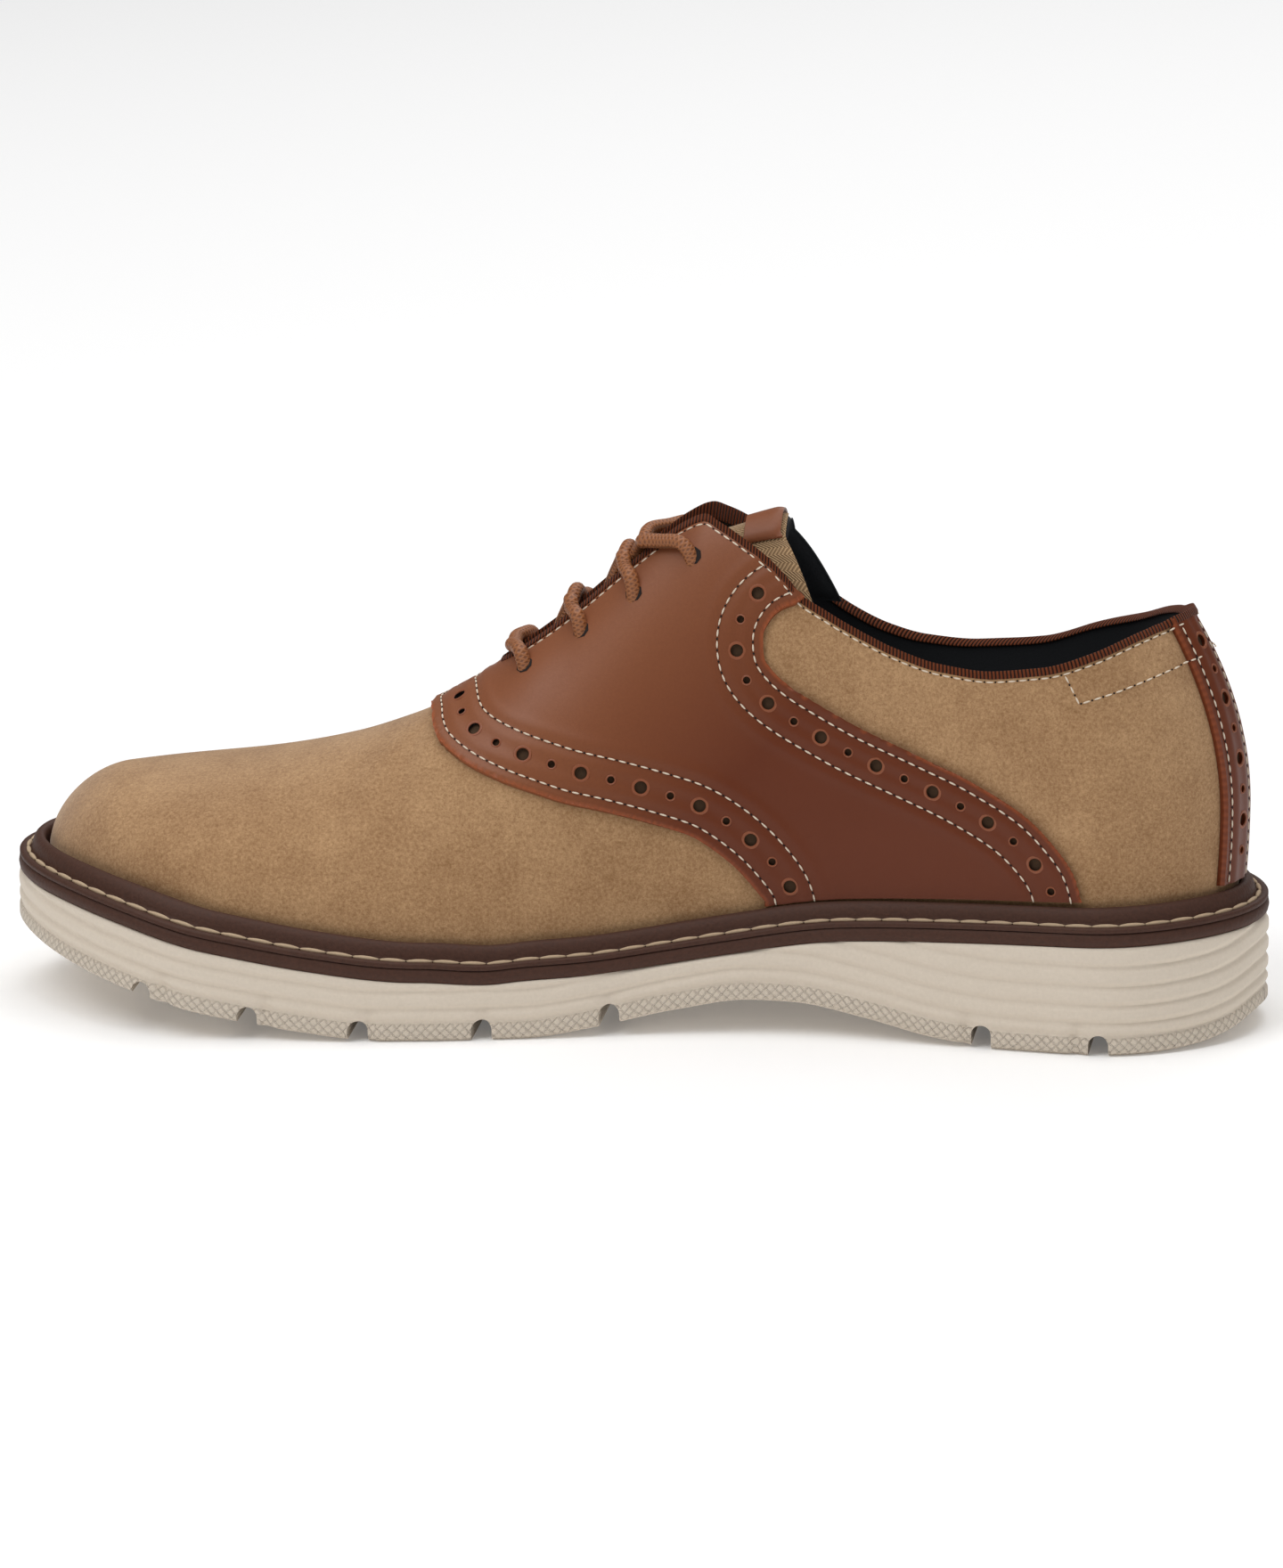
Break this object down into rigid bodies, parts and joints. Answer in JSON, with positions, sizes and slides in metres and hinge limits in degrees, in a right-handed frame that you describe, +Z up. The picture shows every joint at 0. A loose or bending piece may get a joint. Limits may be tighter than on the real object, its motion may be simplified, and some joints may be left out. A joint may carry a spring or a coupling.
{
  "type": "saddle shoe",
  "caption": "Low laced leather shoe, right foot, with a hollow upper, saddle overlay and back strip on a ribbed foam sole.",
  "frame": {"origin": "middle of the footprint's box, on the ground", "axes": "+Z up, -X towards the toe, -Y towards the inner (medial) side of a right foot"},
  "size_m": [0.3009, 0.1083, 0.1212],
  "materials": {
    "foam": "matt",
    "welt": "satin",
    "nubuck": "napped",
    "saddle_leather": "satin",
    "tape": "matt",
    "textile": "matt",
    "lace": "waxed",
    "lining": "matt"
  },
  "bodies": {
    "root": {"outsole": "foam", "midsole": "welt", "welt": "welt", "insole": "lining", "upper": "nubuck", "saddle": "saddle_leather", "heel_strip": "saddle_leather", "collar_binding": "tape", "tongue": "textile", "tongue_tab": "saddle_leather", "lace_bar": "lace", "lace_cross_1": "lace", "lace_cross_2": "lace", "lace_cross_3": "lace"}
  },
  "joints": []
}
